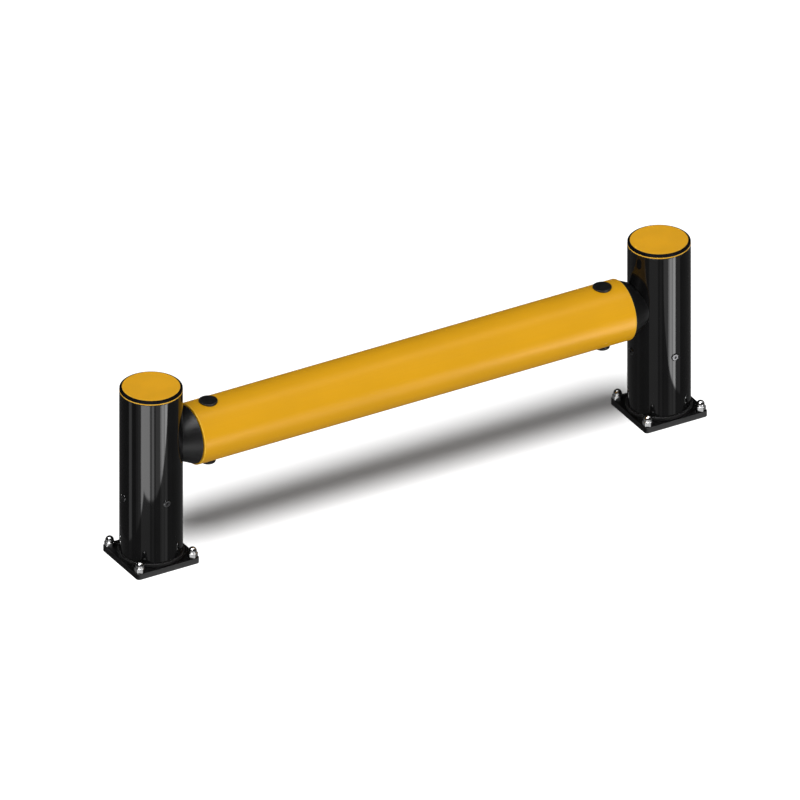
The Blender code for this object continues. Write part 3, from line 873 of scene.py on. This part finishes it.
# ---- floor and light ----
FLOOR_HALF_WIDTH = 40.0
FLOOR_ALBEDO = 0.18
KEY_LEAN = Vector((-0.072, -0.125, 0.402))   # from a shadow on the floor to the rail that casts it
KEY_DISTANCE = 20.0
KEY_SIZE = 9.4
KEY_FLOOR_LIGHT = 1.03          # how bright the key alone makes the floor


def make_sheet(name, half_width, unseen_by):
    """A flat square, the graph of its material's nodes, and the socket that its shader goes to."""
    shape = bmesh.new()
    bmesh.ops.create_grid(shape, x_segments=4, y_segments=4, size=half_width)
    mesh = bpy.data.meshes.new(name)
    shape.to_mesh(mesh)
    shape.free()
    material = bpy.data.materials.new(name)
    material.use_nodes = True
    mesh.materials.append(material)
    graph = Graph(material.node_tree)
    graph.nodes.remove(graph.nodes["Principled BSDF"])
    sheet = put(name, mesh)
    for kind in unseen_by:
        setattr(sheet, f"visible_{kind}", False)
    return sheet, graph, graph.nodes["Material Output"].inputs["Surface"]


def make_floor():
    """Grey under a bright key, so that it shows white, and unseen by the barrier itself."""
    floor, graph, surface = make_sheet("floor", FLOOR_HALF_WIDTH, ("glossy", "diffuse", "shadow"))
    diffuse = graph.nodes.new("ShaderNodeBsdfDiffuse")
    diffuse.inputs["Color"].default_value = (FLOOR_ALBEDO, FLOOR_ALBEDO, FLOOR_ALBEDO, 1.0)
    graph.links.new(diffuse.outputs["BSDF"], surface)
    return floor


def square_light(name, direction, distance, size, radiance, lit, shading):
    """A square light that faces the barrier's middle, lights some objects and is blocked by others."""
    data = bpy.data.lights.new(name, "AREA")
    data.shape = "SQUARE"
    data.size = size
    data.energy = radiance * 4.0 * size ** 2
    light = put(name, data)
    light.location = direction.normalized() * distance
    light.rotation_mode = "QUATERNION"
    light.rotation_quaternion = direction.to_track_quat("Z", "Y")
    linking = light.light_linking
    linking.receiver_collection = bpy.data.collections.new(f"lit_by_{name}")
    linking.blocker_collection = bpy.data.collections.new(f"shading_{name}")
    for collection, pieces in ((linking.receiver_collection, lit), (linking.blocker_collection, shading)):
        for piece in pieces:
            collection.objects.link(piece)


def surfaces(*names):
    """The objects that show some nodes, on both posts."""
    return [bpy.data.objects[f"{side}_{name}_surface"] for side in SIDES for name in names]


def rail_surface():
    return bpy.data.objects["rail_tube_surface"]


def make_key(floor):
    """High over the barrier: it lights the floor, where the rail draws its shadow."""
    seen_share = KEY_SIZE ** 2 * KEY_LEAN.normalized().z / (math.pi * KEY_DISTANCE ** 2)
    radiance = KEY_FLOOR_LIGHT / (FLOOR_ALBEDO * seen_share)
    ends = surfaces("rail_connector", "rail_pin_cap", "rail_pin_nut")
    square_light("key", KEY_LEAN, KEY_DISTANCE, KEY_SIZE, radiance, [floor], [rail_surface(), *ends])


# Soft light on the matt surfaces: an even part, and lobes (direction, sharpness, strength).
EVEN_LIGHT = 0.354
LOBES = [
    (Vector((-0.50, -0.866, 0.05)), 3.0, 0.99),
    (Vector((-0.20, -0.38, 0.90)), 3.0, 0.96),
]
# What glossy surfaces reflect from below the horizon: upright strips (start, end, brightness), by
# their angle in degrees from the camera's side towards the right.
STRIPS = [
    (-180, -87, 0.04), (-87, -74, 1.0), (-74, -56, 0.07), (-56, -48, 0.32), (-48, -36.5, 0.58),
    (-36.5, -4, 7.0), (-4, 3, 1.4), (3, 10.6, 3.8), (10.6, 17, 0.45), (17, 34.2, 1.3), (34.2, 39.8, 6.2),
    (39.8, 47.8, 8.9), (47.8, 51.6, 5.6), (51.6, 61.7, 10.5), (61.7, 82, 0.55), (82, 180, 0.09),
]
# Strips behind the barrier, whose feet are higher, so that they are reflected only in other views.
BACK_STRIPS = [
    (-180, -171, 0.3), (-171, -158, 5.0), (-158, -146, 1.2), (-146, 118, 0.0), (118, 131, 4.5),
    (131, 139, 0.8), (139, 152, 6.5), (152, 180, 0.3),
]
STRIP_BLUR = 1.5                # half the width of the blur between two strips, in degrees
STRIP_TOP = (-0.48, -0.02)      # sines of the heights between which all the strips fade out
BACK_STRIP_FOOT = (-0.45, -0.38)   # sines of the heights between which the back strips fade in
# A long lamp over the barrier, along X. Its ends fade out between two cosines from the X axis.
OVERHEAD_DIRECTION = Vector((0.0, -0.145, 1.0))
OVERHEAD_SHARPNESS = 60.0
OVERHEAD_LENGTH = (0.45, 0.85)
OVERHEAD_LIGHT = 2.2
# A small round lamp, high on the camera's side, whose edge fades in between two cosines.
SIDE_LAMP_DIRECTION = Vector((-0.33, -0.19, 0.925))
SIDE_LAMP_EDGE = (0.945, 0.970)
SIDE_LAMP_LIGHT = 12.0
GLOSS_FILL = 0.02               # what is left between the lamps and strips


class Sky(Graph):
    """The world's nodes: one light for matt surfaces, another for glossy ones, white for the camera."""

    def __init__(self):
        world = bpy.data.worlds.new("studio")
        bpy.context.scene.world = world
        world.use_nodes = True
        world.cycles.sampling_method = "NONE"
        super().__init__(world.node_tree)
        self.direction = self.nodes.new("ShaderNodeTexCoord").outputs["Generated"]
        self.background = self.nodes["Background"]

    def along(self, direction):
        """How far the ray points along a direction, from -1 to 1."""
        dot = self.nodes.new("ShaderNodeVectorMath")
        dot.operation = "DOT_PRODUCT"
        self.links.new(self.direction, dot.inputs[0])
        dot.inputs[1].default_value = direction.normalized()
        return dot.outputs["Value"]

    def lobe(self, direction, sharpness, strength):
        """Soft light from a direction."""
        facing = self.maths("MAXIMUM", self.along(direction), 0.0)
        return self.maths("MULTIPLY", self.maths("POWER", facing, sharpness), strength)

    def strips(self, table):
        """A table's strips, as a ramp over the angle round the barrier."""
        turn = self.maths("ARCTAN2", self.along(PICTURE_RIGHT), self.along(TOWARD_CAMERA))
        share = self.maths("ADD", self.maths("DIVIDE", turn, 2.0 * math.pi), 0.5)
        ramp = self.nodes.new("ShaderNodeValToRGB")
        self.links.new(share, ramp.inputs["Fac"])
        brightest = max(strength for _, _, strength in table)
        stops = []
        for start, end, strength in table:
            stops += [(start + STRIP_BLUR, strength), (end - STRIP_BLUR, strength)]
        elements = ramp.color_ramp.elements
        while len(elements) < len(stops):
            elements.new(1.0)
        for element, (angle, strength) in zip(elements, stops):
            element.position = (angle + 180.0) / 360.0
            element.color = (*(strength / brightest,) * 3, 1.0)
        return self.maths("MULTIPLY", ramp.outputs["Color"], brightest)

    def overhead(self):
        """A lamp that is narrow across the barrier and long beside it."""
        across = self.maths("POWER", self.along(Vector((1.0, 0.0, 0.0))), 2.0)
        upright = self.maths("SQRT", self.maths("SUBTRACT", 1.0, across))
        facing = self.maths("DIVIDE", self.maths("MAXIMUM", self.along(OVERHEAD_DIRECTION), 0.0), upright)
        lamp = self.maths("MULTIPLY", self.maths("POWER", facing, OVERHEAD_SHARPNESS), OVERHEAD_LIGHT)
        ends = self.levels(across, *(end ** 2 for end in OVERHEAD_LENGTH), 1.0, 0.0)
        return self.maths("MULTIPLY", lamp, ends)

    def side_lamp(self):
        return self.levels(self.along(SIDE_LAMP_DIRECTION), *SIDE_LAMP_EDGE, 0.0, SIDE_LAMP_LIGHT)

    def build(self):
        """Joins the parts: the matt light, the glossy light, and white behind everything."""
        rays = self.nodes.new("ShaderNodeLightPath").outputs
        matt = EVEN_LIGHT
        for lobe in LOBES:
            matt = self.maths("ADD", self.lobe(*lobe), matt)
        height = self.along(Vector((0.0, 0.0, 1.0)))
        behind = self.maths("MULTIPLY", self.strips(BACK_STRIPS), self.levels(height, *BACK_STRIP_FOOT))
        gloss = self.maths("ADD", self.strips(STRIPS), behind)
        gloss = self.maths("MULTIPLY", gloss, self.levels(height, *STRIP_TOP, 1.0, 0.0))
        for lamp in (self.overhead(), self.side_lamp(), GLOSS_FILL):
            gloss = self.maths("ADD", gloss, lamp)
        light = self.nodes.new("ShaderNodeMix")
        self.links.new(rays["Is Glossy Ray"], light.inputs["Factor"])
        self.links.new(matt, light.inputs["A"])
        self.links.new(gloss, light.inputs["B"])
        seen = self.maths("MAXIMUM", light.outputs["Result"], rays["Is Camera Ray"])
        self.links.new(seen, self.background.inputs["Strength"])
        self.background.inputs["Color"].default_value = (1.0, 1.0, 1.0, 1.0)


# A dim square under the barrier, in line with the picture and seen only in reflections, where the
# strips shine through faintly.
GROUND_CENTRE = (0.017, 0.030, -0.001)
GROUND_HALF_WIDTH = 1.042
GROUND_EDGE = (0.985, 1.015)    # it fades between these, in half widths
GROUND_CLEARNESS = 0.07         # share of the light behind it that comes through
GROUND_GLOW = 0.11


def make_ground_shade():
    """Lets a little of the light behind it through, and glows faintly."""
    unseen_by = ("camera", "diffuse", "shadow", "transmission")
    shade, graph, surface = make_sheet("ground_shade", GROUND_EDGE[1], unseen_by)
    shade.location = GROUND_CENTRE
    shade.scale = (GROUND_HALF_WIDTH, GROUND_HALF_WIDTH, 1.0)
    shade.rotation_euler.z = -VIEW_TURN
    shade.active_material.cycles.emission_sampling = "NONE"
    nodes, links = graph.nodes, graph.links
    distances = nodes.new("ShaderNodeVectorMath")
    distances.operation = "ABSOLUTE"
    links.new(nodes.new("ShaderNodeTexCoord").outputs["Object"], distances.inputs[0])
    sides = nodes.new("ShaderNodeSeparateXYZ")
    links.new(distances.outputs["Vector"], sides.inputs["Vector"])
    from_middle = graph.maths("MAXIMUM", sides.outputs["X"], sides.outputs["Y"])
    clear, glow = nodes.new("ShaderNodeBsdfTransparent"), nodes.new("ShaderNodeEmission")
    links.new(graph.levels(from_middle, *GROUND_EDGE, GROUND_CLEARNESS, 1.0), clear.inputs["Color"])
    links.new(graph.levels(from_middle, *GROUND_EDGE, GROUND_GLOW, 0.0), glow.inputs["Strength"])
    both = nodes.new("ShaderNodeAddShader")
    links.new(clear.outputs["BSDF"], both.inputs[0])
    links.new(glow.outputs["Emission"], both.inputs[1])
    links.new(both.outputs["Shader"], surface)


# Low lights (direction, distance, size, radiance), each for one kind of piece. The nuts and the base
# plates reflect a broad one, as they would a white floor, and the rail shows a small one as a thin line.
NUT_LIGHT = (Vector((-0.433, -0.75, -0.50)), 5.0, 9.0, 0.27)
PLATE_LIGHT = (Vector((0.30, -0.80, -0.50)), 5.0, 9.0, 1.5)
RAIL_LIGHT = (Vector((0.433, -0.815, -0.41)), 5.0, 1.3, 1.7)


def make_low_lights():
    nuts = surfaces("cap_nut_1", "cap_nut_2", "cap_nut_3", "cap_nut_4")
    square_light("nut_light", *NUT_LIGHT, nuts, nuts)
    square_light("plate_light", *PLATE_LIGHT, surfaces("base_plate"), nuts)
    square_light("rail_light", *RAIL_LIGHT, [rail_surface()], nuts)


make_camera()
make_key(make_floor())
make_ground_shade()
make_low_lights()
Sky().build()
bpy.context.scene.view_settings.view_transform = "Standard"
